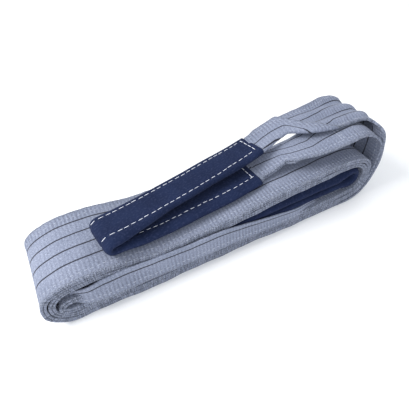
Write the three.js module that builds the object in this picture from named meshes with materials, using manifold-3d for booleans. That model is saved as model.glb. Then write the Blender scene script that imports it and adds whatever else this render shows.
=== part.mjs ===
// Flat web sling, two-ply polyester webbing with a sleeved eye at each end, folded into a flat
// bundle for storage. Eye 2 is the core, the webbing is wound round it, and eye 1 lies on top.
// Millimetres. +X runs along the bundle to the open end turn, +Y across the webbing, +Z up.

import * as THREE from 'three';
import { mergeVertices } from 'three/addons/utils/BufferGeometryUtils.js';
import Module from 'manifold-3d';

const wasm = await Module();
wasm.setup();

// ---- Driving dimensions ----

const WEB_WIDTH = 120;          // full width of the webbing
const PLY = 3.7;                // thickness of one ply
const GAP = 0.3;                // clearance between faces that touch
const END_GAP = 0.8;            // clearance between stretches that meet end to end
const HALF_DUPLEX = PLY + GAP / 2;          // from the middle of the two plies to a face
const BUNDLE_LENGTH = 580;

const EYE_WEB_WIDTH = 60;       // the webbing is folded to half its width in the eyes
const HALF_EYE_WEB = PLY + GAP / 2;         // half of the folded thickness
const LINING = 1.2;             // reinforcement strip on the bearing side of an eye
const SLEEVE = 1.4;             // wear sleeve wall
const SLEEVE_OUT = HALF_EYE_WEB + GAP + SLEEVE;                        // web middle to outer face
const SLEEVE_IN = HALF_EYE_WEB + GAP + LINING + GAP + SLEEVE;          // web middle to inner face
const SLEEVE_PLAY = 1;          // the sleeve is a loose tube: clearance at each edge of the webbing
const WEB_STAND_OUT = 6;        // bare folded web that shows past a sleeve's end

const THREAD_WIDTH = 1.2;       // a row of stitches, as one raised thread
const THREAD_RISE = 0.5;
const TAG = 0.8;                // thickness of the marking tag
const SEAM_INSET = 11;          // edge seam to the webbing's edge

const WRAP = 10;                // pitch of the wraps, which lie a little loose
const OUTER_TURN = { x: 522, z: 70.5, a: 58 - HALF_DUPLEX, b: 70.5 - HALF_DUPLEX };   // open right turn
const RIGHT_TURN_X = 512;
const LEFT_Z = 40;              // height of the left-hand end of the bundle

const EYE_1_PIVOT = { x: 110, y: 40 };      // the point that eye 1 lies askew about
const EYE_1_UPPER_YAW = 10;     // degrees, towards +Y
const EYE_1_LOWER_YAW = 6.5;
const EYE_2_NEAR_EDGE = 3;      // Y of eye 2's folded webbing

const COLOURS = { web: 0x9ba3b8, sleeve: 0x222c55, thread: 0xd8dcec, lining: 0x8a90a0, label: 0x3a6ea5 };

// ---- Side-view paths: points [x, z] that run from the free end into the core ----

/** Points on an ellipse about (x, z), from one angle to another in degrees. */
function arc(x, z, a, b, from, to, steps) {
  return Array.from({ length: steps + 1 }, (_, i) => {
    const angle = THREE.MathUtils.degToRad(from + ((to - from) * i) / steps);
    return [x + a * Math.cos(angle), z + b * Math.sin(angle)];
  });
}

/** Points on a smooth curve through a few hand-chosen points. */
function smooth(points, steps) {
  const curve = new THREE.SplineCurve(points.map(([x, z]) => new THREE.Vector2(x, z)));
  return curve.getPoints(steps).map((p) => [p.x, p.y]);
}

/** Joins stretches end to end, without repeating the point they share. */
function join(...stretches) {
  const path = [];
  for (const point of stretches.flat()) {
    const last = path[path.length - 1];
    if (!last || Math.hypot(point[0] - last[0], point[1] - last[1]) > 0.5) path.push(point);
  }
  return path;
}

/** The path moved sideways: a positive distance is towards the outside of the turns. */
function offset(path, distance) {
  return path.map((point, i) => {
    const before = path[Math.max(i - 1, 0)];
    const after = path[Math.min(i + 1, path.length - 1)];
    const dx = after[0] - before[0];
    const dz = after[1] - before[1];
    const length = Math.hypot(dx, dz);
    const reach = typeof distance === 'function' ? distance(i / (path.length - 1)) : distance;
    return [point[0] - (dz / length) * reach, point[1] + (dx / length) * reach];
  });
}

/** A strip between two sideways distances from a path, extruded across Y. */
function strip(path, inner, outer, yFrom, yTo) {
  const outline = [...offset(path, outer), ...offset(path, inner).reverse()];
  const shape = new THREE.Shape(outline.map(([x, z]) => new THREE.Vector2(x, z)));
  const geometry = new THREE.ExtrudeGeometry(shape, { depth: yTo - yFrom, bevelEnabled: false });
  geometry.rotateX(Math.PI / 2);
  geometry.translate(0, yTo, 0);
  return geometry;
}

/** Moves every vertex of a geometry with a function of its place. */
function bend(geometry, move) {
  const place = geometry.attributes.position;
  for (let i = 0; i < place.count; i += 1) {
    const [x, y] = move(place.getX(i), place.getY(i), place.getZ(i));
    place.setXY(i, x, y);
  }
  return geometry;
}

/** Straight-line interpolation in a table of [x, value] rows, with x rising. */
function read(table, x) {
  const last = table.length - 1;
  if (x <= table[0][0]) return table[0][1];
  if (x >= table[last][0]) return table[last][1];
  const i = table.findIndex((row) => row[0] > x);
  const [x0, v0] = table[i - 1];
  const [x1, v1] = table[i];
  return v0 + ((v1 - v0) * (x - x0)) / (x1 - x0);
}

/** Narrows a full-width strip to given near and far edges, each a table over x. */
function narrow(geometry, near, far) {
  return bend(geometry, (x, y) => {
    const low = read(near, x);
    return [x, low + (y / WEB_WIDTH) * (read(far, x) - low)];
  });
}

// ---- Solids ----

/** A closed three.js geometry as a manifold solid. */
function toSolid(geometry) {
  const bare = geometry.clone();
  bare.deleteAttribute('normal');
  bare.deleteAttribute('uv');
  const merged = mergeVertices(bare, 1e-4);
  return new wasm.Manifold(
    new wasm.Mesh({
      numProp: 3,
      vertProperties: new Float32Array(merged.attributes.position.array),
      triVerts: new Uint32Array(merged.index.array),
    }),
  );
}

/** A manifold solid as a three.js geometry. */
function toGeometry(solid) {
  const mesh = solid.getMesh();
  const geometry = new THREE.BufferGeometry();
  geometry.setAttribute('position', new THREE.BufferAttribute(mesh.vertProperties, 3));
  geometry.setIndex(new THREE.BufferAttribute(mesh.triVerts, 1));
  geometry.computeVertexNormals();
  return geometry;
}

const sling = new THREE.Group();

/** Adds one named sub-part to the sling. */
function add(name, geometry, colour, roughness = 0.85) {
  const material = new THREE.MeshStandardMaterial({ color: colour, roughness, metalness: 0 });
  const mesh = new THREE.Mesh(geometry, material);
  mesh.name = name;
  sling.add(mesh);
}

// ---- The wound webbing ----

// Middle of the two plies along the uppermost run, which swells over eye 2.
const LEFT_TOP = 76.2;
const RIGHT_TOP = 91.2;
const TOP_RUN = [
  [75, LEFT_TOP], [110, 73.4], [150, 66.8], [190, 64.2], [230, 64.6], [270, 68.2],
  [305, 72.6], [340, 77.2], [380, 82.6], [420, 87.2], [460, 90.2], [RIGHT_TURN_X, RIGHT_TOP],
];
const CORE_Z = 41.5;            // the innermost stretch, which leads to eye 2
const CORE_X = 140;
const bottom = (wrap) => HALF_DUPLEX + wrap * WRAP;
const turnZ = (bottom(1) + RIGHT_TOP) / 2;

/** The right-hand turn of a wrap, from the top run down to the bottom run. */
function rightTurn(wrap) {
  const a = 52.1 - (wrap - 1) * WRAP;
  const b = RIGHT_TOP - turnZ - (wrap - 1) * WRAP;
  return arc(RIGHT_TURN_X, turnZ, a, b, 90, -90, 16);
}

/** The left-hand turn of a wrap: a tight lower quarter and a long upper quarter. */
function leftTurn(left, z, low, high, lowX, highX) {
  return [
    ...arc(lowX, z, lowX - left, z - low, 270, 180, 8),
    ...arc(highX, z, highX - left, high - z, 180, 90, 9).slice(1),
  ];
}

const wound = join(
  [[OUTER_TURN.x - GAP, bottom(0)], [280, bottom(0)]],
  leftTurn(HALF_DUPLEX, LEFT_Z, bottom(0), LEFT_TOP, 45, 75),
  smooth(TOP_RUN, 26),
  rightTurn(1),
  [[280, bottom(1)]],
  leftTurn(17.5, LEFT_Z - 1, bottom(1), LEFT_TOP - WRAP, 52, 82),
  smooth(TOP_RUN.slice(1).map(([x, z]) => [x, z - WRAP]), 24),
  rightTurn(2),
  [[280, bottom(2)]],
  arc(58, (bottom(2) + CORE_Z) / 2, 23, (CORE_Z - bottom(2)) / 2, 270, 90, 14),
  [[100, CORE_Z - 0.6], [CORE_X, CORE_Z - 1]],
);
add('outer_ply_wound', strip(wound, GAP / 2, HALF_DUPLEX, 0, WEB_WIDTH), COLOURS.web);
add('inner_ply_wound', strip(wound, -HALF_DUPLEX, -GAP / 2, 0, WEB_WIDTH), COLOURS.web);

// ---- The open turn at the right, and the two plies that leave it for eye 1 ----

const openTurn = arc(OUTER_TURN.x, OUTER_TURN.z, OUTER_TURN.a, OUTER_TURN.b, 89.7, -90, 26);
add('outer_ply_turn', strip(openTurn, GAP / 2, HALF_DUPLEX, 0, WEB_WIDTH), COLOURS.web);
add('inner_ply_turn', strip(openTurn, -HALF_DUPLEX, -GAP / 2, 0, WEB_WIDTH), COLOURS.web);

const CREST = OUTER_TURN.z + OUTER_TURN.b;
const PLY_MID = (PLY + GAP) / 2;            // middle of one ply from the middle of the two
const THROAT_X = 430;                       // where the plies start to fold to half width

const upperPly = smooth(
  [[THROAT_X, 141], [460, 143.5], [495, 142.5], [OUTER_TURN.x - GAP, CREST + PLY_MID]], 14,
);
const lowerPly = smooth(
  [[THROAT_X, 123], [460, 128], [495, 133.5], [OUTER_TURN.x - GAP, CREST - PLY_MID]], 14,
);
const UPPER_NEAR = [[THROAT_X, 46], [470, 26], [OUTER_TURN.x - GAP, 0]];
const UPPER_FAR = [[THROAT_X, 117], [470, WEB_WIDTH]];
const LOWER_NEAR = [[THROAT_X, 10], [470, 2], [OUTER_TURN.x - GAP, 0]];
const LOWER_FAR = [[THROAT_X, 98], [470, 116], [OUTER_TURN.x - GAP, WEB_WIDTH]];
add(
  'upper_ply_free',
  narrow(strip(upperPly, -PLY / 2, PLY / 2, 0, WEB_WIDTH), UPPER_NEAR, UPPER_FAR),
  COLOURS.web,
);
add(
  'lower_ply_free',
  narrow(strip(lowerPly, -PLY / 2, PLY / 2, 0, WEB_WIDTH), LOWER_NEAR, LOWER_FAR),
  COLOURS.web,
);

// A row of stitches across the lower ply, where the two plies of eye 1 come together.
const eye1Throat = lowerPly.slice(10, 12);
add(
  'eye_1_throat_seam',
  strip(eye1Throat, PLY / 2 + GAP, PLY / 2 + GAP + THREAD_RISE, 12, WEB_WIDTH - 12),
  COLOURS.thread,
);

// ---- An eye: folded webbing, lining, wear sleeve and its two rows of stitches ----

/** Cuts the strip of a sleeve's bore out of the strip of its outside. */
function tube(path, yFrom, yTo) {
  const outside = strip(path, -SLEEVE_IN, SLEEVE_OUT, yFrom, yTo);
  const last = path.length - 1;
  const beyond = (from, to) => [1.05 * from[0] - 0.05 * to[0], 1.05 * from[1] - 0.05 * to[1]];
  const longer = [beyond(path[0], path[1]), ...path.slice(1, -1), beyond(path[last], path[last - 1])];
  const wall = SLEEVE;
  const bore = strip(longer, -SLEEVE_IN + wall, SLEEVE_OUT - wall, yFrom + wall, yTo - wall);
  return toGeometry(toSolid(outside).subtract(toSolid(bore)));
}

/** Adds the pieces of one eye; place moves each of them to where the eye lies. */
function addEye(name, webPath, sleevePath, rowPath, yNear, place) {
  const yFar = yNear + EYE_WEB_WIDTH;
  const side = SLEEVE_PLAY + SLEEVE;
  const web = strip(webPath, -HALF_EYE_WEB, HALF_EYE_WEB, yNear, yFar);
  const liningFrom = -HALF_EYE_WEB - GAP - LINING;
  const lining = strip(sleevePath, liningFrom, -HALF_EYE_WEB - GAP, yNear, yFar);
  add(`${name}_web`, bend(web, place), COLOURS.web);
  add(`${name}_lining`, bend(lining, place), COLOURS.lining);
  add(`${name}_sleeve`, bend(tube(sleevePath, yNear - side, yFar + side), place), COLOURS.sleeve, 0.7);
  const rows = { far: yFar + side - 7, near: yNear - side + 24 };
  for (const [row, y] of Object.entries(rows)) {
    const thread = strip(rowPath, SLEEVE_OUT + GAP, SLEEVE_OUT + GAP + THREAD_RISE, y, y + THREAD_WIDTH);
    add(`${name}_row_${row}`, bend(thread, place), COLOURS.thread);
  }
}

// Eye 1 lies on the top run with its bend to the left, its legs fanned a little apart.
const EYE_1_BEND = 8.5;
const EYE_1_FLOOR = 85.2;                   // height of the lower leg's middle at the bend
const eye1Lower = smooth(
  [[359, 91.4], [353, 90.6], [300, 84.4], [250, 80.2], [200, 79.2], [150, 81.6], [110, EYE_1_FLOOR]], 18,
);
const eye1Bend = arc(110, EYE_1_FLOOR + EYE_1_BEND, EYE_1_BEND, EYE_1_BEND, 270, 90, 14);
const EYE_1_TOP = EYE_1_FLOOR + 2 * EYE_1_BEND;
const eye1Upper = smooth(
  [
    [110, EYE_1_TOP], [150, 101.6], [200, 102], [250, 104.6],
    [300, 108.6], [340, 112.6], [376, 118], [382, 119],
  ], 22,
);
const eye1Web = join(eye1Lower, eye1Bend, eye1Upper);
const eye1Sleeve = eye1Web.slice(1, -1);
const eye1Row = join(eye1Bend.slice(1), eye1Upper.slice(0, -2));

/** Turns eye 1 about its bend, its lower leg a little less than its upper leg. */
function placeEye1(x, y, z) {
  const reach = x - EYE_1_PIVOT.x;
  const spread = THREE.MathUtils.smoothstep(reach, 0, 90);
  const middle = read([[110, 93.7], [200, 90.6], [250, 92.4], [300, 96.5], [380, 104.8]], x);
  const mean = (EYE_1_UPPER_YAW + EYE_1_LOWER_YAW) / 2;
  const side = (z > middle ? 1 : -1) * ((EYE_1_UPPER_YAW - EYE_1_LOWER_YAW) / 2) * spread;
  const yaw = THREE.MathUtils.degToRad(mean + side);
  const across = y - EYE_1_PIVOT.y;
  return [
    EYE_1_PIVOT.x + reach * Math.cos(yaw) - across * Math.sin(yaw),
    EYE_1_PIVOT.y + reach * Math.sin(yaw) + across * Math.cos(yaw),
  ];
}
addEye('eye_1', eye1Web, eye1Sleeve, eye1Row, EYE_1_PIVOT.y - EYE_WEB_WIDTH / 2, placeEye1);

// Eye 2 is the core: its bend fills the inner turn at the right.
const EYE_2_END = 279;
const EYE_2_LOW = 34.5;
const EYE_2_HIGH = 70.5;
const EYE_2_BEND_X = 505;
const eye2Upper = smooth(
  [
    [EYE_2_END, 49.4], [305, 52.1], [340, 56.7], [380, 62.1],
    [420, 66.7], [460, 69.7], [EYE_2_BEND_X, EYE_2_HIGH],
  ], 18,
);
const eye2Mid = (EYE_2_LOW + EYE_2_HIGH) / 2;
const eye2Bend = arc(EYE_2_BEND_X, eye2Mid, 35, EYE_2_HIGH - eye2Mid, 90, -90, 16);
const eye2Sleeve = join(
  [[EYE_2_END + WEB_STAND_OUT, 49.9]],
  eye2Upper.slice(2),
  eye2Bend,
  [[EYE_2_END + WEB_STAND_OUT, EYE_2_LOW]],
);
const eye2Web = join(eye2Upper, eye2Bend, [[EYE_2_END, EYE_2_LOW]]);
addEye('eye_2', eye2Web, eye2Sleeve, eye2Sleeve.slice(1, -1), EYE_2_NEAR_EDGE, (x, y) => [x, y]);

// ---- The tapered legs, where a ply folds from full width to the width of an eye ----

/** A leg whose thickness grows from one ply to the folded webbing along its path. */
function leg(path, near, far, folded) {
  const half = (t) => PLY / 2 + (HALF_EYE_WEB - PLY / 2) * (folded === 'first' ? 1 - t : t);
  return narrow(strip(path, (t) => -half(t), half, 0, WEB_WIDTH), near, far);
}

const eye1UpperLeg = smooth([[383.5, 119.4], [400, 127.5], [415, 136], [THROAT_X - END_GAP, 140.8]], 9);
const eye1LowerLeg = smooth([[363.2, 93.2], [380, 101.5], [405, 115.5], [THROAT_X - END_GAP, 122.8]], 10);
add(
  'eye_1_upper_leg',
  leg(eye1UpperLeg, [[383, 58], [THROAT_X, 46]], [[383, 118], [THROAT_X, 117]], 'first'),
  COLOURS.web,
);
add(
  'eye_1_lower_leg',
  leg(eye1LowerLeg, [[363, 38], [THROAT_X, 10]], [[363, 98], [THROAT_X, 98]], 'first'),
  COLOURS.web,
);

const LEG_X = CORE_X + END_GAP;
const eye2Near = [[LEG_X, 0], [EYE_2_END, EYE_2_NEAR_EDGE]];
const eye2Far = [[LEG_X, WEB_WIDTH], [EYE_2_END, EYE_2_NEAR_EDGE + EYE_WEB_WIDTH]];
const eye2UpperLeg = smooth(
  [[LEG_X, CORE_Z - 1 + PLY_MID], [190, 43.4], [240, 46.6], [EYE_2_END - END_GAP, 49.3]], 9,
);
const eye2LowerLeg = smooth(
  [[LEG_X, CORE_Z - 1 - PLY_MID], [190, 36.6], [240, 34.9], [EYE_2_END - END_GAP, EYE_2_LOW]], 9,
);
add('eye_2_upper_leg', leg(eye2UpperLeg, eye2Near, eye2Far, 'last'), COLOURS.web);
add('eye_2_lower_leg', leg(eye2LowerLeg, eye2Near, eye2Far, 'last'), COLOURS.web);

// ---- Seams on the outer face of the wound webbing, a cross seam and the tag ----

const topOfSeam = HALF_DUPLEX + GAP + THREAD_RISE;
const seamPath = wound.slice(11, 46).filter(([x]) => x < RIGHT_TURN_X - 20);
for (const [side, y] of [['near', SEAM_INSET], ['far', WEB_WIDTH - SEAM_INSET - THREAD_WIDTH]]) {
  const seam = strip(seamPath, HALF_DUPLEX + GAP, topOfSeam, y, y + THREAD_WIDTH);
  add(`edge_seam_${side}`, seam, COLOURS.thread);
}
add(
  'eye_2_throat_seam',
  strip([[118, CORE_Z - 0.8], [120, CORE_Z - 0.8]], topOfSeam - THREAD_RISE, topOfSeam, 12, WEB_WIDTH - 12),
  COLOURS.thread,
);
add('marking_tag', strip([[146, 48.6], [206, 48.6]], -TAG / 2, TAG / 2, 30, 85), COLOURS.label, 0.6);

// The origin is under the middle of the bundle, on the surface that it lies on.
sling.position.set(-BUNDLE_LENGTH / 2, -WEB_WIDTH / 2, 0);
sling.name = 'flat_web_sling';

export default sling;
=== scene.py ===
import math

import bpy
import numpy as np
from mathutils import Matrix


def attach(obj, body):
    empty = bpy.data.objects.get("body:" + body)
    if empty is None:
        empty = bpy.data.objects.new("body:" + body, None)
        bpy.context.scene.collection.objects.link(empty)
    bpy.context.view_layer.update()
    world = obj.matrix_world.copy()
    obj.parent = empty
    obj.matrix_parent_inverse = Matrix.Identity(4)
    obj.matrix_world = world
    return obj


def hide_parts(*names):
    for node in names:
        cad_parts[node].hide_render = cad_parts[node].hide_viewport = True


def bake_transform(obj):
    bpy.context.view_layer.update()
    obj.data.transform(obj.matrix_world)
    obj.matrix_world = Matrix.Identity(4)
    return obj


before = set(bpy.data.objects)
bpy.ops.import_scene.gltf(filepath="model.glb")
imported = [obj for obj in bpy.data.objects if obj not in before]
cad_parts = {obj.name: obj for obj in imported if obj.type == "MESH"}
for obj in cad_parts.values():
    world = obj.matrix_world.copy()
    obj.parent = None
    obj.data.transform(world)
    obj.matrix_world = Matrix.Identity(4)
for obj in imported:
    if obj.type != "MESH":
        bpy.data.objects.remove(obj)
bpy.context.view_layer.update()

# ---- Camera, floor and studio ----
# The bundle lies on a plain white studio floor, seen from its near left side and from above.
# A white surround gives soft light from all sides, and a large soft lamp gives it a direction.

CAMERA_PLACE = (-0.205, -0.349, 0.482)
CAMERA_HEADING = -27.7      # degrees about Z
CAMERA_DIP = 47.0           # degrees below the horizon
CAMERA_LENS = 32.3          # mm, on a 36 mm sensor

lens = bpy.data.cameras.new("camera")
lens.lens = CAMERA_LENS
lens.sensor_width = 36
camera = bpy.data.objects.new("camera", lens)
camera.location = CAMERA_PLACE
camera.rotation_euler = (math.radians(90 - CAMERA_DIP), 0, math.radians(CAMERA_HEADING))
bpy.context.collection.objects.link(camera)
bpy.context.scene.camera = camera
bpy.context.scene.view_settings.view_transform = "Standard"

surround = bpy.data.worlds.new("studio")
surround.use_nodes = True
sky = surround.node_tree.nodes["Background"]
sky.inputs["Color"].default_value = (0.93, 0.96, 1, 1)
sky.inputs["Strength"].default_value = 0.95
bpy.context.scene.world = surround


def add_lamp(name, place, aim, size, power, colour):
    """A square soft lamp at a place, turned to face a point."""
    lamp = bpy.data.lights.new(name, "AREA")
    lamp.size, lamp.energy, lamp.color = size, power, colour
    held = bpy.data.objects.new(name, lamp)
    held.location = place
    away = held.location - type(held.location)(aim)
    held.rotation_euler = away.to_track_quat("Z", "Y").to_euler()
    bpy.context.collection.objects.link(held)


add_lamp("key_lamp", (-1.2, 0.35, 1.35), (0, 0, 0.05), 0.8, 28, (1, 0.99, 0.98))
add_lamp("fill_lamp", (-0.5, -1.6, 1.0), (0, 0, 0.05), 1.0, 8, (0.95, 0.97, 1))

FLOOR = 6                   # m, from the middle to each side
floor_mesh = bpy.data.meshes.new("floor")
corners = [(-FLOOR, -FLOOR, 0), (FLOOR, -FLOOR, 0), (FLOOR, FLOOR, 0), (-FLOOR, FLOOR, 0)]
floor_mesh.from_pydata(corners, [], [(0, 1, 2, 3)])
studio_floor = bpy.data.objects.new("floor", floor_mesh)
bpy.context.collection.objects.link(studio_floor)

# ---- Woven polyester webbing, the finish of every grey piece ----
# Both plies are 120 mm webbing, woven from coarse grey yarn: weft ribs every 5.7 mm that show
# most near the edges, fine warp threads, rough selvedges, and four dark marker yarns along it.
# The colours are mixed from the cloth's own coordinates, so they follow every fold.


class Wire:
    """A socket in a finish's node tree. Sums on wires add Math nodes."""

    def __init__(self, tree, socket=None):
        self.tree = tree
        self.socket = socket

    def node(self, kind, settings=(), inputs=(), output=0):
        """Adds a node of a kind, sets its settings, then feeds its sockets with wires or values."""
        made = self.tree.nodes.new("ShaderNode" + kind)
        for name, value in dict(settings).items():
            setattr(made, name, value)
        for name, value in dict(inputs).items():
            if isinstance(value, Wire):
                self.tree.links.new(value.socket, made.inputs[name])
            else:
                made.inputs[name].default_value = value
        return Wire(self.tree, made.outputs[output])

    def maths(self, operation, *values):
        return self.node("Math", {"operation": operation}, enumerate(values))

    def sine(self):
        return self.maths("SINE", self)

    def absolute(self):
        return self.maths("ABSOLUTE", self)

    def stretched(self, along, across):
        """These coordinates, multiplied by one factor along the cloth and another across it."""
        factors = (along, across, 1)
        return self.node("VectorMath", {"operation": "MULTIPLY"}, {0: self, 1: factors})

    def between(self, low, high):
        """0 below low and 1 above high, smooth between them."""
        return self.node(
            "MapRange",
            {"interpolation_type": "SMOOTHSTEP"},
            {"Value": self, "From Min": low, "From Max": high},
        )

    def noise(self, place, scale, detail=3.0, roughness=0.55):
        inputs = {"Vector": place, "Scale": scale, "Detail": detail, "Roughness": roughness}
        return self.node("TexNoise", (), inputs)

    def tint(self, share, under, over):
        """Mixes two colours, each a wire or four numbers."""
        return self.node("Mix", {"data_type": "RGBA"}, {0: share, 6: under, 7: over}, 2)

    def __add__(self, other):
        return self.maths("ADD", self, other)

    def __sub__(self, other):
        return self.maths("SUBTRACT", self, other)

    def __mul__(self, other):
        return self.maths("MULTIPLY", self, other)

    __radd__ = __add__
    __rmul__ = __mul__

    def __rsub__(self, other):
        return self.maths("SUBTRACT", other, self)


def new_finish(name, sheen, roughness):
    """An empty cloth finish, with its shader's plain values set."""
    finish = bpy.data.materials.new(name)
    finish.use_nodes = True
    shader = finish.node_tree.nodes["Principled BSDF"]
    shader.inputs["Roughness"].default_value = roughness
    shader.inputs["Sheen Weight"].default_value = sheen
    shader.inputs["Sheen Roughness"].default_value = 0.5
    shader.inputs["Specular IOR Level"].default_value = 0.25
    return finish, shader, Wire(finish.node_tree)


def feed(shader, **values):
    """Links wires to the shader's sockets, by name with underscores for spaces."""
    for name, wire in values.items():
        wire.tree.links.new(wire.socket, shader.inputs[name.replace("_", " ")])


def cloth_place(start):
    """The cloth's own coordinates in metres: both together, the one along and the one across."""
    both = start.node("UVMap", {"uv_map": "cloth"})
    return both, *(start.node("SeparateXYZ", (), {0: both}, k) for k in (0, 1))


def grainy_finish(name, sheen, roughness, scale, darker, lighter, bump):
    """A finish of two close colours mixed by fine noise, which can also raise slight bumps."""
    finish, shader, start = new_finish(name, sheen, roughness)
    grain = start.noise(start.node("TexCoord", (), (), 3), scale, 2.0)
    feed(shader, Base_Color=start.tint(grain, (*darker, 1), (*lighter, 1)))
    if bump:
        bumps = start.node("Bump", (), {"Strength": bump, "Distance": 0.0003, "Height": grain})
        feed(shader, Normal=bumps)
    return finish


WEB_WIDTH = 120.0           # mm, as every length below the finishes
RIB_PITCH = 0.0057          # m, between weft ribs
RIB_WANDER = 0.0022         # m, how far a rib strays along the cloth
STRIPES = (0.031, 0.054, 0.077, 0.099)      # m from the near edge, the marker yarns
STRIPE_WANDER = 0.0009      # m, how far a marker yarn strays

webbing, web_shader, start = new_finish("grey_webbing", 0.06, 0.82)
cloth, along, across = cloth_place(start)
ripple = start.noise(cloth.stretched(30, 90), 1.0)
rib = ((along + RIB_WANDER * ripple) * (2 * math.pi / RIB_PITCH)).sine() * 0.5 + 0.5
threads = start.noise(cloth.stretched(330, 1300), 1.0, 2.0, 0.6)
picks = start.noise(cloth.stretched(1100, 300), 1.0, 2.0, 0.6)
grit = start.noise(cloth.stretched(620, 900), 1.0, 1.0, 0.5)
blotches = start.noise(cloth, 17.0, 4.0, 0.65)
strong_ribs = start.noise(cloth.stretched(9, 26), 1.0, 2.0).between(0.35, 0.65)
off_middle = (across - WEB_WIDTH / 2000).absolute()
margin = off_middle.between(0.032, 0.048)
selvedge = off_middle.between(0.0535, 0.0575)
rib_depth = (0.14 + 0.28 * strong_ribs + 0.32 * margin) * (1 - 0.85 * selvedge)
stripe = 0.0
for place in STRIPES:
    off = across + STRIPE_WANDER * ripple - (place + STRIPE_WANDER / 2)
    stripe = stripe + (1 - off.absolute().between(0.0007, 0.0015))
tone = start.tint(blotches.between(0.3, 0.7), (0.215, 0.245, 0.335, 1), (0.275, 0.305, 0.405, 1))
tone = start.tint(threads.between(0.38, 0.62) * 0.68, tone, (0.11, 0.125, 0.175, 1))
tone = start.tint(picks.between(0.48, 0.70) * 0.52, tone, (0.45, 0.49, 0.61, 1))
tone = start.tint((1 - rib) * rib_depth * 0.74, tone, (0.065, 0.075, 0.11, 1))
tone = start.tint(selvedge * grit.between(0.40, 0.60) * 0.85, tone, (0.055, 0.065, 0.09, 1))
tone = start.tint(selvedge * picks.between(0.5, 0.66) * 0.65, tone, (0.32, 0.34, 0.40, 1))
tone = start.tint(stripe * 0.96, tone, (0.017, 0.018, 0.028, 1))
height = (
    0.55 * rib * rib_depth + 0.4 * threads + 0.35 * picks - 0.5 * stripe + 0.9 * selvedge * grit
)
bumps = start.node("Bump", (), {"Strength": 0.75, "Distance": 0.0009, "Height": height})
feed(web_shader, Base_Color=tone, Normal=bumps, Roughness=0.74 + 0.18 * threads)

seam_thread = grainy_finish(
    "pale_seam_thread", 0.2, 0.6, 700.0, (0.27, 0.30, 0.37), (0.42, 0.45, 0.54), 0.4
)

# ---- Shaping cloth and thread ----
# Every cloth piece is a middle surface, stations along it by columns across it, given its
# thickness. A seam is a row of separate stitches laid on such a surface.

TO_FRAME = np.array([-290.0, -60.0, 0.0])   # mm, the bundle's left, near, lower corner
PLY = 3.7                   # mm, thickness of one ply
GAP = 0.1                   # mm, between two plies
PLY_MID = (PLY + GAP) / 2   # mm, middle of one ply from the middle of the two
STATION = 3.0               # mm, between stations along a cloth
CURVE_STEPS, ARC_STEPS = 30, 60     # points between two given ones, and points on an arc


def ease(low, high, value):
    """0 below low, 1 above high, and three t squared less two t cubed between them."""
    t = np.clip((value - low) / (high - low), 0, 1)
    return t * t * (3 - 2 * t)


def arc(x, z, a, b, turn_from, turn_to):
    """Points on an ellipse about (x, z), from one angle to another in degrees."""
    angle = np.radians(np.linspace(turn_from, turn_to, ARC_STEPS))
    return np.stack([x + a * np.cos(angle), z + b * np.sin(angle)], 1)


def curve(points):
    """Points on the smooth curve through the given ones: a uniform cubic between each pair."""
    p = np.array(points, float)
    p = np.concatenate([2 * p[:1] - p[1:2], p, 2 * p[-1:] - p[-2:-1]])
    t = np.linspace(0, 1, CURVE_STEPS, endpoint=False)[None, :, None]
    a, b, c, d = (p[i:len(p) - 3 + i, None] for i in range(4))
    on = b + 0.5 * t * (c - a + t * (2 * a - 5 * b + 4 * c - d + t * (3 * (b - c) + d - a)))
    return np.concatenate([on.reshape(-1, p.shape[1]), p[-2:-1]])


def evenly(path, spacing=STATION):
    """The path with stations at even distances, its kinks smoothed by averaging neighbours."""
    step = np.linalg.norm(np.diff(path, axis=0), axis=1)
    path = path[np.concatenate([[True], step > 1e-6])]
    run = np.concatenate([[0], np.cumsum(np.linalg.norm(np.diff(path, axis=0), axis=1))])
    stations = np.linspace(0, run[-1], int(run[-1] / spacing) + 2)
    even = np.stack([np.interp(stations, run, path[:, k]) for k in range(path.shape[1])], 1)
    for _ in range(3):
        even[1:-1] = 0.25 * even[:-2] + 0.5 * even[1:-1] + 0.25 * even[2:]
    return even, stations


def beside(path, distance):
    """The path moved sideways along its normal, which is to the right of the way it runs."""
    tangent = np.gradient(path, axis=0)
    tangent /= np.linalg.norm(tangent, axis=1)[:, None]
    normal = np.stack([tangent[:, 1], -tangent[:, 0]], 1)
    return path + normal * np.broadcast_to(distance, len(path))[:, None]


def columns(width, inner=26):
    """Distances across a cloth, close together where each edge rounds off."""
    rim = PLY / 2
    edge = rim * (1 - np.cos(np.radians([0, 30, 60, 90])))
    return np.concatenate([edge, np.linspace(rim, width - rim, inner)[1:-1], width - edge[::-1]])


def laid(path, y):
    """A grid of points with its rows along a path in X and Z, and its columns at given Y."""
    y = np.broadcast_to(y, (len(path), np.shape(y)[-1]))
    x, z = (np.broadcast_to(path[:, k, None], y.shape) for k in (0, 1))
    return np.stack([x, y, z], -1)


def flow(along, across, seed):
    """Gentle waves over a cloth: a sum of sines of mixed lengths, from -1 to 1 or so."""
    phase = np.random.default_rng(seed).uniform(0, 2 * math.pi, 8)
    waves = (
        np.sin(along / 61 + phase[0]) * np.sin(across / 37 + phase[1])
        + 0.7 * np.sin(along / 23 + phase[2] + across / 90)
        + 0.5 * np.sin(along / 11 + phase[3]) * np.sin(across / 19 + phase[4])
        + 0.25 * np.sin(along / 4.6 + phase[5] + across / 31)
    )
    return waves / 1.8


def normals_of(middle):
    """Unit normals of a grid of points, from its two directions."""
    normal = np.cross(np.gradient(middle, axis=1), np.gradient(middle, axis=0))
    return normal / np.maximum(np.linalg.norm(normal, axis=2), 1e-9)[..., None]


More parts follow.
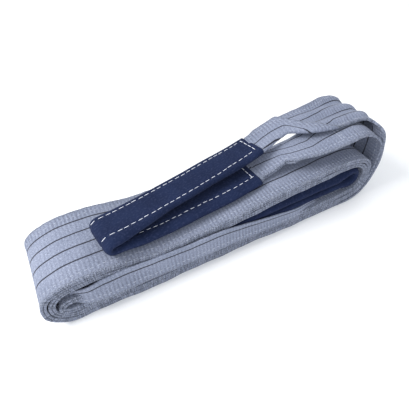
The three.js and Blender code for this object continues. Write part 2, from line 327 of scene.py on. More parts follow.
def thicken(middle, along, across, thickness, fuzz=0.0):
    """Closed cloth about a middle surface. Each face stands half the thickness away along the
    normal, and both come together over the rim, as the square root of one less t squared. Fuzz
    thickens the selvedges, more in some places than in others."""
    rim = thickness / 2
    edge = np.minimum(across - across[0], across[-1] - across)
    swell = np.sqrt(np.clip(1 - (1 - np.clip(edge / rim, 0, 1)) ** 2, 0, 1))
    tuft = 1 + fuzz * (1 - ease(2, 9, edge))[None] * (
        0.75 + 0.4 * np.sin(along / 3.1)[:, None] + 0.35 * np.sin(along / 1.9 + 2)[:, None]
    )
    reach = normals_of(middle) * (rim * swell[None] * tuft)[..., None]
    points = np.concatenate([middle + reach, (middle - reach)[:, -2:0:-1]], 1)
    points[..., 2] = np.maximum(points[..., 2], 0.05)
    n, m = len(along), len(across)
    ring = points.shape[1]
    cell = (np.arange(n - 1)[:, None] * ring + np.arange(ring)[None, :]).ravel()
    beyond = (np.arange(n - 1)[:, None] * ring + (np.arange(ring)[None, :] + 1) % ring).ravel()
    faces = np.stack([cell, cell + ring, beyond + ring, beyond], 1).tolist()
    top = np.arange(m)
    under = np.concatenate([[0], ring - np.arange(1, m - 1), [m - 1]])
    for base, turn in ((0, 1), ((n - 1) * ring, -1)):
        cap = np.stack([top[:-1], top[1:], under[1:], under[:-1]], 1) + base
        faces += [list(dict.fromkeys(face))[::turn] for face in cap.tolist()]
    full = np.concatenate([across, across[-2:0:-1]])
    uv = np.stack(np.broadcast_arrays(along[:, None], full[None, :]), 2) / 1000
    return points.reshape(-1, 3), faces, uv.reshape(-1, 2)


def on_cloth(middle, along, across, s, y, lift):
    """Points on a cloth's face at distances s along and y across, with the directions there:
    the four grid points about each place, weighed by nearness, then lifted along the normal."""
    i = np.clip(np.searchsorted(along, s) - 1, 0, len(along) - 2)
    j = np.clip(np.searchsorted(across, y) - 1, 0, len(across) - 2)
    u = ((s - along[i]) / (along[i + 1] - along[i]))[:, None]
    v = ((y - across[j]) / (across[j + 1] - across[j]))[:, None]

    def weigh(grid):
        return (
            (1 - u) * (1 - v) * grid[i, j] + u * (1 - v) * grid[i + 1, j]
            + (1 - u) * v * grid[i, j + 1] + u * v * grid[i + 1, j + 1]
        )

    normal = weigh(normals_of(middle))
    run = weigh(np.gradient(middle, axis=0))
    normal /= np.linalg.norm(normal, axis=1)[:, None]
    run /= np.linalg.norm(run, axis=1)[:, None]
    return weigh(middle) + normal * lift, run, normal


FLOOR_ROOM = 0.6            # mm, a stitch that lies lower than this would press into the floor


def stitches(places, runs, ups, length, width, rise):
    """One low rounded stitch at each place, save on the floor side: rings of six points, their
    size by the square root of one less the distance from the middle to the power 2.6."""
    clear = places[:, 2] > FLOOR_ROOM
    places, runs, ups = places[clear], runs[clear], ups[clear]
    spans = np.linspace(-1, 1, 7)
    girth = np.sqrt(1 - np.abs(spans) ** 2.6) + 0.02
    turn = np.radians(np.arange(0, 360, 60))
    sides = np.cross(ups, runs)
    unit = np.stack(np.broadcast_arrays(
        spans[:, None] * length / 2,
        girth[:, None] * np.cos(turn)[None] * width / 2,
        girth[:, None] * np.sin(turn)[None] * rise,
    ), 2).reshape(-1, 3)
    points = (
        places[:, None] + unit[None, :, :1] * runs[:, None]
        + unit[None, :, 1:2] * sides[:, None] + unit[None, :, 2:] * ups[:, None]
    )
    k = np.arange(6)
    ring = np.concatenate([
        np.stack([r * 6 + k, r * 6 + (k + 1) % 6, r * 6 + 6 + (k + 1) % 6, r * 6 + 6 + k], 1)
        for r in range(6)
    ])
    base = np.arange(len(places))[:, None, None] * len(unit)
    faces = (ring[None] + base).reshape(-1, 4).tolist()
    for first in base[:, 0, 0].tolist():
        faces += [[first + q for q in range(5, -1, -1)], [first + 36 + q for q in range(6)]]
    points = points.reshape(-1, 3)
    return points, faces, np.zeros((len(points), 2))


def seam(cloth_piece, first, last, y, pitch, length, width, rise, side=1, thickness=PLY):
    """A row of stitches along a cloth from one distance to another, on one of its faces."""
    middle, along, across = cloth_piece
    s = np.arange(first, last, pitch)
    uneven = np.random.default_rng(len(s)).normal(0, 1, (2, len(s)))
    s, y = s + 0.7 * uneven[0], y + 0.25 * uneven[1]
    place, run, up = on_cloth(middle, along, across, s, y, side * thickness / 2)
    return stitches(place, run, up * side, length, width, rise)


def build(name, parts, finishes):
    """One object from several bodies of (points, faces, uv), each with its own finish. A body that
    is inside out is turned: its volume is the sum of a dot (b cross c) over its triangles."""
    points = np.concatenate([p for p, _, _ in parts])
    faces, slots, base = [], [], 0
    for index, (p, f, _) in enumerate(parts):
        fan = np.array([[q[0], q[k], q[k + 1]] for q in f for k in range(1, len(q) - 1)])
        volume = np.einsum("ij,ij->i", p[fan[:, 0]], np.cross(p[fan[:, 1]], p[fan[:, 2]])).sum()
        turned = f if volume > 0 else [q[::-1] for q in f]
        faces += [[k + base for k in q] for q in turned]
        slots += [min(index, len(finishes) - 1)] * len(f)
        base += len(p)
    mesh = bpy.data.meshes.new(name)
    mesh.from_pydata(((points + TO_FRAME) / 1000).tolist(), [], faces)
    for finish in finishes:
        mesh.materials.append(finish)
    mesh.polygons.foreach_set("material_index", slots)
    mesh.polygons.foreach_set("use_smooth", [True] * len(faces))
    corner = np.zeros(len(mesh.loops), np.int32)
    mesh.loops.foreach_get("vertex_index", corner)
    uv = np.concatenate([u for _, _, u in parts])[corner]
    mesh.uv_layers.new(name="cloth").data.foreach_set("uv", uv.ravel())
    made = bpy.data.objects.new(name, mesh)
    bpy.context.collection.objects.link(made)
    return made


# ---- The wound webbing ----
# Both plies run together from the core out to the open turn, in flat loose wraps about eye 2.
# They are polyester webbing, sewn to each other along both edges with pale thread, and their
# margins sag over the wraps below them.

LEFT_TOP, RIGHT_TOP = 76.2, 91.2    # mm, heights of the two ends of the uppermost run
WRAP = 10.0                 # mm, pitch of the wraps
LOWEST = 3.85               # mm, middle of the two plies above the floor, in the lowest run
RIGHT_X, RIGHT_REACH = 512, 52.1    # mm, where the right turns begin, and the first one's reach
CORE_Z = 41.5               # mm, height of the innermost run
TOP_RUN = [
    (75, LEFT_TOP), (110, 73.4), (150, 66.8), (190, 64.2), (230, 64.6), (270, 68.2),
    (305, 72.6), (340, 77.2), (380, 82.6), (420, 87.2), (460, 90.2), (RIGHT_X, RIGHT_TOP),
]
turn_z = (LOWEST + WRAP + RIGHT_TOP) / 2


def right_turn(wrap):
    """From the top run down to the bottom run, half an ellipse."""
    inset = (wrap - 1) * WRAP
    return arc(RIGHT_X, turn_z, RIGHT_REACH - inset, RIGHT_TOP - turn_z - inset, 90, -90)


def left_turn(left, z, low, high, low_x, high_x):
    """From a bottom run up to a top run: a tight lower quarter and a long upper quarter."""
    lower = arc(low_x, z, low_x - left, z - low, 270, 180)
    return np.concatenate([lower, arc(high_x, z, high_x - left, high - z, 180, 90)[1:]])


# The list goes from the open turn inwards, and the path is then turned round.
wound_path, wound_run = evenly(np.concatenate([
    [[505, LOWEST], [280, LOWEST]],
    left_turn(LOWEST, 40, LOWEST, LEFT_TOP, 45, 75),
    curve(TOP_RUN),
    right_turn(1),
    [[280, LOWEST + WRAP]],
    left_turn(14, 39, LOWEST + WRAP, LEFT_TOP - WRAP, 50, 82),
    curve([(x, z - WRAP) for x, z in TOP_RUN[1:]]),
    right_turn(2),
    [[280, LOWEST + 2 * WRAP]],
    arc(48, (LOWEST + 2 * WRAP + CORE_Z) / 2, 24, (CORE_Z - LOWEST) / 2 - WRAP, 270, 90),
    [[100, CORE_Z - 0.6], [140, CORE_Z - 1]],
])[::-1])
wound_length = wound_run[-1]


def run_at(x, z):
    """The distance along the wound webbing at its point nearest to a place."""
    return wound_run[np.argmin(np.hypot(wound_path[:, 0] - x, wound_path[:, 1] - z))]


SECOND_TOP = (run_at(290, 61), run_at(470, 81))     # mm, the run under the uppermost one
SAG = ([0, 50, 150, 250, 320, 512, 560], [0, 1, 3, 3, 0.5, 1, 1])   # mm, over X, near margin
SLIP = 25                   # mm, towards the far side
HOLLOW = 22                 # mm, sag of the far margin


def settle(points, along):
    """How the cloth really lies: lower wraps stand out a little to the near side, near margins
    sag more the higher they lie, the run under the uppermost one has slipped back to the far
    side at the right, the far margin sags there over the hollow core, and the edges wander."""
    x, y, z = points[..., 0], points[..., 1], points[..., 2]
    sag = np.interp(x, *SAG)
    near = 1 - ease(-4, 19, y)
    lean = -3.5 + 6.5 * ease(22, 56, z)
    wander = 0.9 * np.sin(along / 47) + 0.7 * np.sin(along / 19 + 1) + 0.35 * np.sin(along / 7.3)
    wander = wander * (1 - ease(wound_length - 90, wound_length - 10, along))
    low, high = SECOND_TOP
    slipped = SLIP * ease(low - 60, low + 40, along) * (1 - ease(high - 40, high + 60, along))
    shift = lean + wander * (1 - 0.3 * ease(0, 60, y)) + slipped * (1 - 0.75 * ease(0, 90, y))
    hollow = HOLLOW * ease(320, 440, x) * (1 - ease(460, 550, x))
    hollow = hollow * ease(80, 120, y) * ease(56, 70, z)
    return np.stack([x, y + shift, z - sag * near * ease(26, 58, z) - hollow], -1)


def wound_ply(side):
    """One ply of the wound webbing: its path, straight across, then settled."""
    path = beside(wound_path, side * PLY_MID)
    across = columns(WEB_WIDTH)
    grid = laid(path, across)
    edge = np.minimum(across, WEB_WIDTH - across)
    ruffle = 0.5 * flow(wound_run[:, None], across[None], 4)
    ruffle *= (1 - ease(-60, 0, wound_run - wound_length))[:, None]
    ruffle *= ease(3.9, 12, path[:, 1])[:, None]
    puckers = -0.4 * np.exp(-(((edge - 11) / 1.6) ** 2)) + 0.35 * (1 - ease(2, 9, edge))
    grid += normals_of(grid) * (ruffle + side * puckers[None])[..., None]
    grid[..., 2] = np.maximum(grid[..., 2], PLY / 2 + 0.02)
    return settle(grid, wound_run[:, None]), wound_run, across


SEAM_PITCH, SEAM_INSET = 8.4, 11.0  # mm, between stitches, and from the webbing's edge
SEAM_STITCH = (5.2, 1.1, 0.4)       # mm, a stitch's length, width and rise
wound_outer = wound_ply(1)
wound_inner = wound_ply(-1)
for name, ply, side, node in (
    ("wound_outer_ply", wound_outer, 1, "outer_ply_wound"),
    ("wound_inner_ply", wound_inner, -1, "inner_ply_wound"),
):
    piece = build(name, [thicken(*ply, PLY, 0.22)], [webbing])
    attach(piece, "bundle")
    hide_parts(node)
    wound_length / 1000

for name, node, y in (
    ("near_edge_seam", "edge_seam_near", SEAM_INSET),
    ("far_edge_seam", "edge_seam_far", WEB_WIDTH - SEAM_INSET),
):
    rows = [
        seam(ply, 12, wound_length - 8, y, SEAM_PITCH, *SEAM_STITCH, side)
        for ply, side in ((wound_outer, 1), (wound_inner, -1))
    ]
    piece = build(name, rows, [seam_thread])
    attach(piece, "bundle")
    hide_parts(node)

# ---- The open turn, the free plies and the legs of eye 1 ----
# The lowest run rises in a wide open turn and comes back over the bundle as two separate plies.
# Each ply folds to half width on its way to an eye: the upper one turns its near half over on
# top, the lower one turns its far half under.

TURN = [
    (500, LOWEST), (522, 3.9), (541, 7.8), (556, 18), (567, 33), (573, 50), (575.5, 68),
    (576.5, 88),
]
TURN_TOP = {
    1: [(577, 108), (574, 124), (566, 135.5), (553, 140.5), (537, 142)],
    -1: [(575, 101), (569, 114), (558, 124), (545, 130), (532, 133)],
}


def free_path(side, beyond):
    """Open turn from the floor to the crest, then the free ply's own points."""
    turn = beside(evenly(curve(TURN), 2.5)[0], side * PLY_MID)
    return evenly(np.concatenate([turn[:-2], curve(TURN_TOP[side] + beyond)]), 2.5)


upper_path, upper_run = free_path(1, [
    (518, 142.6), (495, 142.4), (460, 141), (430, 135), (415, 130), (400, 124.4), (384, 119.4),
    (366, 115.4),
])
lower_path, lower_run = free_path(-1, [
    (518, 134.0), (495, 132.2), (460, 127.6), (430, 122.0), (405, 113), (380, 100), (364, 94),
    (347, 91.2),
])
FOLD_RISE = 4.6             # mm, the turned-back part from the part it lies on
FOLD_ROUND = 2.0            # mm, how round the fold is
FOLD_SLOPE = 1.6            # mm, over which the turned-back part comes away


def free_ply(path, run, edges, fold, over, ripples):
    """A ply whose near and far edges follow tables over x. The cloth past the fold line is turned
    back, over or under: its distance from the fold counts backwards, rounded by the square root
    of the sum of squares, and it moves up or down by a hyperbolic tangent."""
    across = columns(WEB_WIDTH, 44)
    x, z = path[:, :1], path[:, 1:]
    rising = np.where(x > 500, ease(60, 115, z), 1)
    near, far = (np.interp(x, *zip(*table)) for table in edges)
    near = near * rising
    turned = np.interp(x, *zip(*fold)) * (rising > 0)
    y = np.broadcast_to(across[None], (len(path), len(across)))
    beyond = y - turned if over else (WEB_WIDTH - turned) - y
    flat = np.where(beyond > 0, beyond * (far - near) / (WEB_WIDTH - turned), 0)
    back = np.where(beyond < 0, -beyond * np.minimum(1, (far - near) / np.maximum(turned, 1)), 0)
    inwards = np.sqrt((flat + back) ** 2 + FOLD_ROUND ** 2) - FOLD_ROUND
    lift = FOLD_RISE * (0.5 - 0.5 * np.tanh(beyond / FOLD_SLOPE)) * ease(0, 6, turned)
    place = near + inwards if over else far - inwards
    grid = laid(path, place)
    grid[..., 2] += lift if over else -lift
    grid[..., 2] += ripples(grid[..., 0], place, grid[..., 2])
    grid[..., 0] -= 11 * ease(55, 118, place) * ease(100, 136, grid[..., 2]) * ease(500, 545, x)
    grid[..., 1] -= 3.5 * (1 - ease(0, 55, grid[..., 2]))
    return grid, run, across


def crest_ripples(x, y, z):
    """Long pleats that gather towards the throat and die out down the open turn."""
    high = ease(95, 135, z)
    gathered = ease(440, 500, x) * ease(38, 52, y)
    pleat = 2.6 * np.sin(y / 4.4 + x / 70) * gathered
    return high * (pleat + 2.5 * ease(96, 118, y) * gathered + 1.0 * np.sin(x / 23 + y / 30))


def lower_ripples(x, y, z):
    """The lower ply hangs away from the upper one along its near margin."""
    high = ease(90, 130, z)
    return high * (-5.0 * (1 - ease(2, 40, y)) * ease(400, 480, x) + 0.8 * np.sin(x / 27 + y / 33))


UPPER_NEAR = [
    (366, 66), (384, 69), (404, 73), (424, 74), (440, 60), (452, 51), (470, 45), (491, 41),
    (535, 41), (556, 38), (566, 24), (574, 10), (580, 2),
]
UPPER_FAR = [
    (366, 111), (376, 113), (386, 117), (430, 118), (470, 115), (495, 115), (522, 118), (550, 120),
]
UPPER_FOLD = [(366, 60), (400, 56), (430, 46), (450, 30), (478, 12), (500, 0)]
LOWER_NEAR = [
    (347, 36), (364, 38), (380, 37), (400, 37), (414, 25), (441, 15), (474, 11), (508, 9),
    (535, 11), (560, 9), (578, 2),
]
LOWER_FAR = [
    (347, 88), (364, 92), (380, 87), (400, 75), (425, 69), (447, 73), (470, 93), (505, 114),
    (522, 120),
]
LOWER_FOLD = [(347, 60), (380, 58), (400, 50), (430, 38), (470, 20), (505, 6), (520, 0)]
upper_ply = free_ply(
    upper_path, upper_run, (UPPER_NEAR, UPPER_FAR), UPPER_FOLD, True, crest_ripples
)
lower_ply = free_ply(
    lower_path, lower_run, (LOWER_NEAR, LOWER_FAR), LOWER_FOLD, False, lower_ripples
)
CREST_X, MIDDLE_COLUMN = 524, 20    # where each ply is split, in its middle


def stretch(ply, first, last):
    """The stations of a ply from one index to another."""
    middle, along, across = ply
    return middle[first:last], along[first:last], across


for name, ply, turn_node, free_nodes in (
    ("upper", upper_ply, "outer_ply_turn", ("upper_ply_free", "eye_1_upper_leg")),
    ("lower", lower_ply, "inner_ply_turn", ("lower_ply_free", "eye_1_lower_leg")),
):
    line, run = ply[0][:, MIDDLE_COLUMN], ply[1]
    crest = int(np.argmax((line[:, 2] > 100) & (line[:, 0] < CREST_X)))
    for kind, first, last in (("turn", 0, crest + 1), ("ply", crest, len(run))):
        cloth_piece = stretch(ply, first, last)
        parts = [thicken(*cloth_piece, PLY, 0.2)]
        ends = cloth_piece[1][0] + 3, cloth_piece[1][-1] - 4
        parts += [
            seam(cloth_piece, *ends, y, SEAM_PITCH, *SEAM_STITCH, face)
            for y in (SEAM_INSET, WEB_WIDTH - SEAM_INSET) for face in (1, -1)
        ]
        piece = build(f"{name}_{kind}", parts, [webbing, seam_thread])
        if kind == "turn":
            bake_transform(piece)
            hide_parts(turn_node)
        else:
            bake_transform(piece)
            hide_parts(*free_nodes)
        (cloth_piece[1][-1] - cloth_piece[1][0]) / 1000

# ---- The wear sleeves ----
# A sleeve is a flat tube of closely woven navy polyester, drawn over the folded webbing of an eye
# and sewn through with two rows of long white stitches, joined by a cross row at each end.

WEFT_PITCH, WARP_PITCH = 0.0017, 0.0015     # m, between threads of the sleeve

navy, navy_shader, start = new_finish("navy_sleeve_weave", 0.02, 0.9)
navy_shader.inputs["Specular IOR Level"].default_value = 0.1
cloth, along, across = cloth_place(start)
weft = (along * (2 * math.pi / WEFT_PITCH)).sine()
warp = (across * (2 * math.pi / WARP_PITCH)).sine()
weave = weft * warp * 0.5 + 0.5
fuzz = start.noise(cloth.stretched(260, 420), 1.0, 3.0, 0.65)
cloud = start.noise(cloth, 22.0, 4.0, 0.6)
tone = start.tint(cloud.between(0.3, 0.7), (0.0075, 0.0145, 0.046, 1), (0.0125, 0.0225, 0.066, 1))
tone = start.tint(weave * 0.45, tone, (0.005, 0.008, 0.026, 1))
tone = start.tint(fuzz.between(0.48, 0.70) * 0.55, tone, (0.036, 0.046, 0.10, 1))
bumps = start.node("Bump", (), {"Strength": 0.5, "Distance": 0.0004, "Height": weave + fuzz})
feed(navy_shader, Base_Color=tone, Normal=bumps, Roughness=0.70 + 0.2 * fuzz)

row_thread = grainy_finish(
    "white_row_thread", 0.2, 0.55, 800.0, (0.60, 0.63, 0.72), (0.86, 0.88, 0.94), 0.4
)

EYE_WEB = 48.0              # mm, width of the folded webbing
SLEEVE_WIDTH = 60.0
WALL = 1.3
SLEEVE_OUT, SLEEVE_IN = 5.55, 7.05          # mm, webbing's middle to the tube's two faces
SLEEVE_SHIFT = 0.75         # mm, the tube's middle below the webbing's
ROW_FAR, ROW_NEAR = SLEEVE_WIDTH - 8, SLEEVE_WIDTH - 43
ROW_PITCH = 10.6            # mm, between the long stitches
OUTER_STITCH, INNER_STITCH = (9.2, 1.15, 0.45), (8.4, 1.15, 0.45)   # mm, as the seams' above
CROSS_STITCH = (8.8, 1.25, 0.5)
STAND_OFF = 0.3             # mm, twice the height of a stitch's middle above the sleeve
DENT, DENT_WIDTH = 0.75, 1.9        # mm, how deep and how wide a row pulls the cloth in
PUFF = 0.35                 # mm, waves in the cloth


def tube_ring(inset, count=61):
    """A flat tube's section as distances across and up. Across, w goes from -1 to 1 by a sine;
    each face stands half the thickness away times the square root of one less w to the sixth."""
    w = np.sin(np.radians(np.linspace(-90, 90, count)))
    half = (SLEEVE_OUT + SLEEVE_IN) / 2 - inset
    high = half * np.sqrt(1 - w ** 6)
    wide = np.concatenate([w, w[-2:0:-1]]) * (SLEEVE_WIDTH / 2 - inset) + SLEEVE_WIDTH / 2
    return wide, np.concatenate([high, -high[-2:0:-1]]) + (SLEEVE_OUT - SLEEVE_IN) / 2


def dents(across):
    """How far the rows pull the cloth in: a bell curve about each."""
    return DENT * sum(np.exp(-(((across - row) / DENT_WIDTH) ** 2)) for row in (ROW_FAR, ROW_NEAR))


def stood_off(path, across, rise):
    """A grid along a path in X and Z, its points moved off it at right angles by their rise."""
    tangent = np.gradient(path, axis=0)
    tangent /= np.linalg.norm(tangent, axis=1)[:, None]
    x = path[:, :1] - tangent[:, 1:] * rise
    z = path[:, 1:] + tangent[:, :1] * rise
    return np.stack([x, np.broadcast_to(across[None], x.shape), z], -1)


def sleeve_body(path, run, lay):
    """A tube with a wall along a path: an outer skin and an inner skin, joined at both ends. The
    rows of stitches pull narrow dents into both faces."""
    rings = []
    for inset in (0.0, WALL):
        wide, high = tube_ring(inset)
        high = high - dents(wide) * np.sign(high + SLEEVE_SHIFT)
        puff = PUFF * flow(run[:, None], wide[None], 9)
        rise = high[None] + puff * np.sign(high + SLEEVE_SHIFT)[None]
        rings.append(lay(stood_off(path, wide, rise), run[:, None]))
    outer, inner = rings
    n, ring = outer.shape[:2]
    points = np.concatenate([outer.reshape(-1, 3), inner.reshape(-1, 3)])
    cell = (np.arange(n - 1)[:, None] * ring + np.arange(ring)[None, :]).ravel()
    beyond = (np.arange(n - 1)[:, None] * ring + (np.arange(ring)[None, :] + 1) % ring).ravel()
    skin = np.stack([cell, cell + ring, beyond + ring, beyond], 1)
    k = np.arange(ring)
    start_rim = np.stack([k, (k + 1) % ring, n * ring + (k + 1) % ring, n * ring + k], 1)
    end_rim = start_rim[:, ::-1] + (n - 1) * ring
    faces = np.concatenate([skin, skin[:, ::-1] + n * ring, start_rim, end_rim]).tolist()
    wide, _ = tube_ring(0.0)
    round_it = np.where(np.arange(ring) <= ring / 2, wide, 2 * SLEEVE_WIDTH - wide)
    uv = np.stack(np.broadcast_arrays(run[:, None], round_it[None]), 2).reshape(-1, 2) / 1000
    return points, faces, np.concatenate([uv, uv])


def sleeve_face(path, run, lay, side):
    """One face of a sleeve as a plain grid for its stitches to lie on."""
    across = np.linspace(2, SLEEVE_WIDTH - 2, 57)
    half = (SLEEVE_OUT + SLEEVE_IN) / 2 * np.sqrt(1 - (2 * across / SLEEVE_WIDTH - 1) ** 6)
    reach = (SLEEVE_OUT - SLEEVE_IN) / 2 + side * (half - dents(across))
    rise = reach[None] + side * PUFF * flow(run[:, None], across[None], 9)
    return lay(stood_off(path, across, rise), run[:, None]), run, across


def sleeve_rows(path, run, lay, row, bend):
    """The stitches of one row on both faces, except in the bend, where the inner face folds on
    itself. The bend is given as two distances along the sleeve."""
    outer = sleeve_face(path, run, lay, 1)
    inner = sleeve_face(path, run, lay, -1)
    begin, end = 9, run[-1] - 9
    return [
        seam(outer, begin, end, row, ROW_PITCH, *OUTER_STITCH, 1, STAND_OFF),
        seam(inner, begin, bend[0], row, ROW_PITCH, *INNER_STITCH, -1, STAND_OFF),
        seam(inner, bend[1], end, row, ROW_PITCH, *INNER_STITCH, -1, STAND_OFF),
    ]


def cross_rows(path, run, lay):
    """A short row across each end of a sleeve, on both faces, from one long row to the other."""
    made = []
    for side in (1, -1):
        face = sleeve_face(path, run, lay, side)
        for place in (run[0] + 8, run[-1] - 8):
            spots = np.arange(ROW_NEAR + 4, ROW_FAR, 9.4)
            spot, forward, up = on_cloth(
                *face, np.full(len(spots), place), spots, side * STAND_OFF / 2
            )
            made.append(stitches(spot, np.cross(up, forward), up * side, *CROSS_STITCH))
    return made


def folded_webbing(path, run, lay, y_near):
    """The webbing inside an eye, folded to half width, as two layers."""
    parts = []
    across = columns(EYE_WEB, 14)
    for side in (1, -1):
        grid = laid(beside(path, side * PLY_MID), across + y_near)
        parts.append(thicken(lay(grid, run[:, None]), run, across, PLY))
    return parts


def add_eye(name, body, web_path, sleeve_path, lay, bend):
    """Builds an eye's sleeve, its rows of stitches and its folded webbing."""
    side = (SLEEVE_WIDTH - EYE_WEB) / 2
    sleeve_line, sleeve_run = evenly(sleeve_path, 2.5)
    web_line, web_run = evenly(web_path, 3.0)
    piece = build(f"{name}_wear_sleeve", [sleeve_body(sleeve_line, sleeve_run, lay)], [navy])
    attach(piece, body)
    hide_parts(f"{name}_sleeve")
    sleeve_run[-1] / 1000
    for row, y in (("far", ROW_FAR), ("near", ROW_NEAR)):
        parts = sleeve_rows(sleeve_line, sleeve_run, lay, y, bend)
        if row == "far":
            parts += cross_rows(sleeve_line, sleeve_run, lay)
        piece = build(f"{name}_stitches_{row}", parts, [row_thread])
        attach(piece, body)
        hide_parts(f"{name}_row_{row}")
    piece = build(f"{name}_folded_web", folded_webbing(web_line, web_run, lay, side), [webbing])
    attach(piece, body)
    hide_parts(f"{name}_web", f"{name}_lining")
    web_run[-1] / 1000


# ---- Eye 1, on top of the bundle ----
# The eye at the free end: sleeve, stitches and folded webbing. It lies askew across the top run,
# with its bend at the left, and its upper leg is turned further than its lower one.

EYE_1_LOW = 85.2            # mm, height of the lower leg's middle at the bend
EYE_1_RADIUS = 8.5
EYE_1_X, EYE_1_Y = 110, 40  # mm, the bend's middle, which the eye is turned about
EYE_1_YAW, LEG_YAW = 8.25, 1.75     # degrees, the whole eye, and each leg from that
EYE_1_ROLL = 0.13           # slope of the upper leg's right end
eye_1_web_path = np.concatenate([
    curve([
        (359, 91.4), (353, 90.6), (300, 84.4), (250, 80.2), (200, 79.2), (150, 81.6),
        (EYE_1_X, EYE_1_LOW),
    ]),
    arc(EYE_1_X, EYE_1_LOW + EYE_1_RADIUS, EYE_1_RADIUS, EYE_1_RADIUS, 270, 90)[1:],
    curve([
        (EYE_1_X, EYE_1_LOW + 2 * EYE_1_RADIUS), (150, 101.6), (200, 102), (250, 104.6),
        (300, 108.6), (340, 112.6), (376, 118), (382, 119),
    ])[1:],
])
in_upper_leg = eye_1_web_path[:, 1] > 100
eye_1_inside = eye_1_web_path[:, 0] < np.where(in_upper_leg, 376, 353)


def lay_eye_1(points, along):
    """Turns eye 1 about its bend, its lower leg less than its upper leg, draws in the upper
    leg's near part, and rolls its right end so that its near edge stands higher."""
    x, z = points[..., 0], points[..., 2]
    reach = x - EYE_1_X
    middle = np.interp(x, [110, 200, 250, 300, 380], [93.7, 90.6, 92.4, 96.5, 104.8])
    upper = ease(-1, 1, z - middle)
    beyond = np.maximum(ROW_NEAR - 1 - points[..., 1], 0)
    tuck = upper * np.interp(x, [120, 150, 205, 280, 350], [0, 0.3, 0.72, 0.72, 0.38])
    slide = (upper - 1) * ease(0, 50, reach) * (4.5 + 5 * ease(230, 320, x))
    across = points[..., 1] + 32.4 - SLEEVE_WIDTH + tuck * beyond + slide
    yaw = np.radians(EYE_1_YAW + (2 * upper - 1) * LEG_YAW * ease(0, 90, reach))
    roll = EYE_1_ROLL * upper * ease(280, 375, x) * across
    turned_x = EYE_1_X + reach * np.cos(yaw) - across * np.sin(yaw)
    turned_y = EYE_1_Y + reach * np.sin(yaw) + across * np.cos(yaw)
    return np.stack([turned_x, turned_y, z - roll], -1)


add_eye("eye_1", "eye_1", eye_1_web_path, eye_1_web_path[eye_1_inside], lay_eye_1, (232, 275))

# ---- Eye 2, in the core ----
# The eye at the other end, made like eye 1. It lies straight along the inside of the wraps, with
# its bend at the right, and only the near edge of its sleeve shows.

EYE_2_LOW, EYE_2_HIGH, EYE_2_END = 34.5, 70.5, 279      # mm, two heights, and where it begins
EYE_2_TOP = [
    (EYE_2_END, 49.4), (305, 52.1), (340, 56.7), (380, 62.1), (420, 66.7), (460, 69.7),
    (505, EYE_2_HIGH),
]
eye_2_web_path = np.concatenate([
    curve(EYE_2_TOP),
    arc(505, (EYE_2_LOW + EYE_2_HIGH) / 2, 35, (EYE_2_HIGH - EYE_2_LOW) / 2, 90, -90)[1:],
    [[EYE_2_END, EYE_2_LOW]],
])
eye_2_inside = eye_2_web_path[:, 0] > EYE_2_END + 6
eye_2_sleeve_path = np.concatenate([eye_2_web_path[eye_2_inside], [[EYE_2_END + 6, EYE_2_LOW]]])


def lay_eye_2(points, along):
    """Eye 2 lies straight in the core, near the webbing's near edge, and settles with it. The
    near part of its upper leg hangs down onto the lower leg's, which stands up a little."""
    x, y, z = points[..., 0], points[..., 1], points[..., 2]
    high = np.interp(x, *zip(*EYE_2_TOP))
    share = np.clip((z - (EYE_2_LOW + high) / 2) / 6, -1, 1)
    hang = np.where(share > 0, 0.72, 0.28) * np.maximum(high - EYE_2_LOW - 13, 0)
    hang *= (1 - ease(492, 538, x)) * (1 - ease(0, 30, y))
    return settle(np.stack([x, y + 0.6, z - share * hang], -1), np.zeros_like(z))


add_eye("eye_2", "bundle", eye_2_web_path, eye_2_sleeve_path, lay_eye_2, (232, 300))

# ---- The legs of eye 2 and the throat seams ----
# Inside the bundle the two plies of webbing narrow to half width on the way into eye 2. Two rows
# of pale stitches across the cloth hold the plies together where each eye begins.

LEG_AREA = 0.11             # m, a leg's area by its length, as part of its width is folded in


def leg_ply(points, name, near, far):
    """A ply that narrows evenly from full width to the eye's width."""
    line, run = evenly(curve(points), 3.0)
    across = columns(WEB_WIDTH)
    low = np.interp(line[:, 0], *zip(*near))[:, None]
    high = np.interp(line[:, 0], *zip(*far))[:, None]
    grid = laid(line, low + across[None] / WEB_WIDTH * (high - low))
    piece = build(name, [thicken(settle(grid, run[:, None]), run, across, PLY)], [webbing])
    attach(piece, "bundle")
    run[-1] / 1000
    LEG_AREA * run[-1] / 1000
    return piece


LEG_NEAR, LEG_FAR = [(141, 0), (279, 3)], [(141, 120), (279, 59)]
upper_leg = leg_ply(
    [(140.8, CORE_Z - 1 + PLY_MID), (190, 43.4), (240, 46.6), (278.2, 49.3)],
    "eye_2_leg_upper", LEG_NEAR, LEG_FAR,
)
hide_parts("eye_2_upper_leg")
lower_leg = leg_ply(
    [(140.8, CORE_Z - 1 - PLY_MID), (190, 36.6), (240, 34.9), (278.2, EYE_2_LOW)],
    "eye_2_leg_lower", LEG_NEAR, LEG_FAR,
)
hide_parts("eye_2_lower_leg")


def cross_seam(name, cloth_piece, place, side, body, node):
    """Two rows of stitches across a cloth, at a distance along it."""
    spots = np.arange(16, WEB_WIDTH - 14, 6.0)
    rows = []
    for offset in (-2.5, 2.5):
        spot, forward, up = on_cloth(
            *cloth_piece, np.full(len(spots), place + offset), spots, side * PLY / 2
        )
        rows.append(stitches(spot, np.cross(up, forward), up * side, 4.6, 1.2, 0.45))
    piece = build(name, rows, [seam_thread])
    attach(piece, body)
    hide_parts(node)


throat = lower_run[np.argmin(np.hypot(lower_path[:, 0] - 495, lower_path[:, 1] - 133))]
cross_seam("eye_1_throat_stitches", lower_ply, throat, 1, "free_end", "eye_1_throat_seam")
cross_seam("eye_2_throat_stitches", wound_outer, 12.0, -1, "bundle", "eye_2_throat_seam")

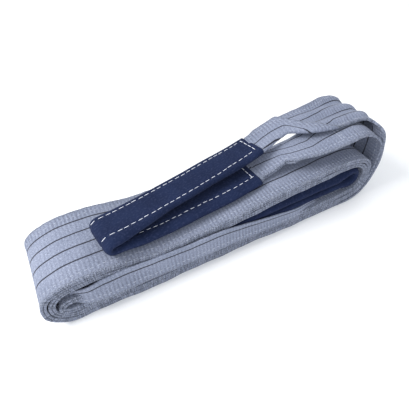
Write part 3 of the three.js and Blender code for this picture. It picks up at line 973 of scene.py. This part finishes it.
# ---- The folded margin of the inner wraps ----
# At the near side the margin of the inner wraps has folded up on itself. It is 40 mm of the same
# webbing, with its edge seam, and it closes the bundle's side to the left of eye 2's sleeve.

MARGIN_WIDTH, MARGIN_THICKNESS = 40, 2.6
MARGIN_TOP = (
    [40, 60, 85, 122, 152, 213, 270, 320, 358, 400, 450],
    [46, 57, 63, 64, 61.5, 59.5, 59, 50, 44, 37, 32],
)
MARGIN_BOTTOM = ([48, 90, 283, 400, 450], [30, 24, 24, 22, 21])
MARGIN_STITCH = (5.2, 1.3, 0.45)

strip_x = np.arange(40, 456, 3.0)
strip_across = columns(MARGIN_WIDTH, 16)
top, bottom = np.interp(strip_x, *MARGIN_TOP), np.interp(strip_x, *MARGIN_BOTTOM)
share = (strip_across / MARGIN_WIDTH)[None]
left_bend, right_bend = 12 * (1 - ease(38, 66, strip_x)), 7 * ease(400, 456, strip_x)
strip = np.stack(np.broadcast_arrays(
    strip_x[:, None],
    -5.5 + 6.5 * share + left_bend[:, None] + right_bend[:, None]
    + 0.7 * flow(strip_x[:, None], strip_across[None], 12),
    bottom[:, None] + (top - bottom)[:, None] * share,
), -1)
strip_run = strip_x + 260           # mm, which only sets where the weave begins
rows = [
    seam(
        (strip, strip_run, strip_across), strip_run[0] + 8, strip_run[-1] - 8, 10.5, SEAM_PITCH,
        *MARGIN_STITCH, side, MARGIN_THICKNESS,
    )
    for side in (1, -1)
]
body = thicken(strip, strip_run, strip_across, MARGIN_THICKNESS, 0.3)
piece = build("inner_wrap_margin", [body, *rows], [webbing, seam_thread])
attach(piece, "bundle")

# ---- The marking tag ----
# A plain tag of blue film, sewn in beside eye 2 and rolled up inside the bundle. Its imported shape
# is used as it is, with a finish of its own.

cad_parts["marking_tag"].data.materials[0] = grainy_finish(
    "plain_blue_tag", 0.0, 0.45, 300.0, (0.06, 0.16, 0.34), (0.08, 0.20, 0.40), 0.2
)

# ---- The floor's finish ----
# The floor is matt white card.

card = grainy_finish("white_card", 0.0, 0.9, 3.0, (0.92, 0.92, 0.92), (0.94, 0.94, 0.94), 0)
floor_mesh.materials.append(card)
